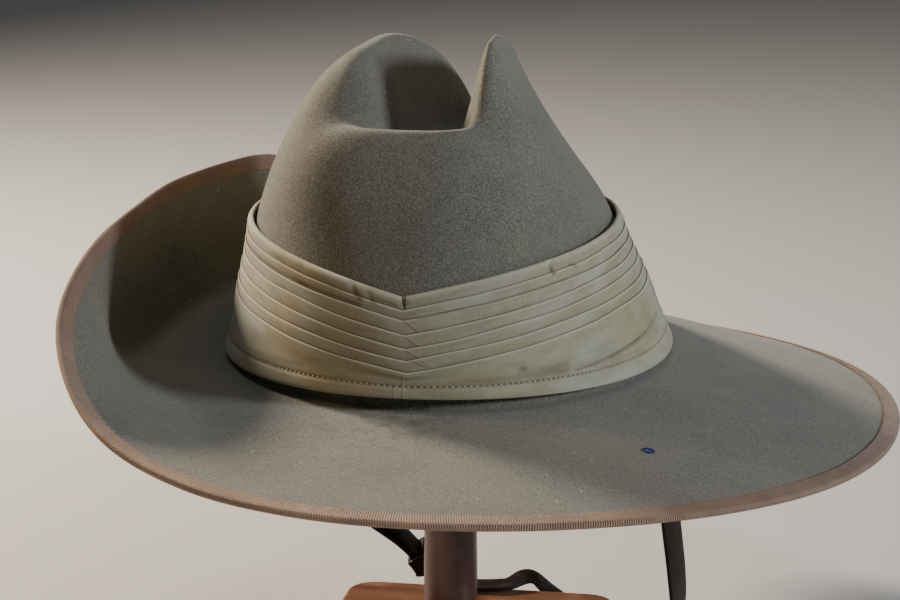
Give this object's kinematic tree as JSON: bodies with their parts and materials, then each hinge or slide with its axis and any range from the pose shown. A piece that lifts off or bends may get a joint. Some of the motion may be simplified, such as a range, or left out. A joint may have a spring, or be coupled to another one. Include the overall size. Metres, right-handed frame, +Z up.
{
  "type": "slouch hat on a wooden stand",
  "caption": "Wide-brimmed felt slouch hat with a pleated cloth puggaree, a bound brim turned up at one side and a leather chin strap, held on a plain wooden stand.",
  "frame": {"origin": "underside of the stand's base, under the axis of the post", "axes": "+Z up, -Y towards the front of the hat, +X to its right as seen from the front"},
  "size_m": [0.3139, 0.3949, 0.2639],
  "materials": {
    "felt": "matt napped wool felt",
    "binding": "ribbed ribbon",
    "puggaree_cloth": "washed cotton cloth",
    "blue_eyelet": "satin",
    "strap_leather": "smooth dark leather",
    "slide_leather": "smooth dark leather",
    "rivet_metal": "dulled metal",
    "base_wood": "worn varnish",
    "post_wood": "worn dark varnish"
  },
  "bodies": {
    "root": {"felt_body": "felt", "brim_binding": "binding", "puggaree": "puggaree_cloth", "brim_eyelet": "blue_eyelet", "chin_strap": "strap_leather", "strap_tail": "strap_leather", "strap_slide": "slide_leather", "strap_rivet_left": "rivet_metal", "strap_rivet_right": "rivet_metal", "stand_base": "base_wood", "stand_post": "post_wood"}
  },
  "joints": []
}
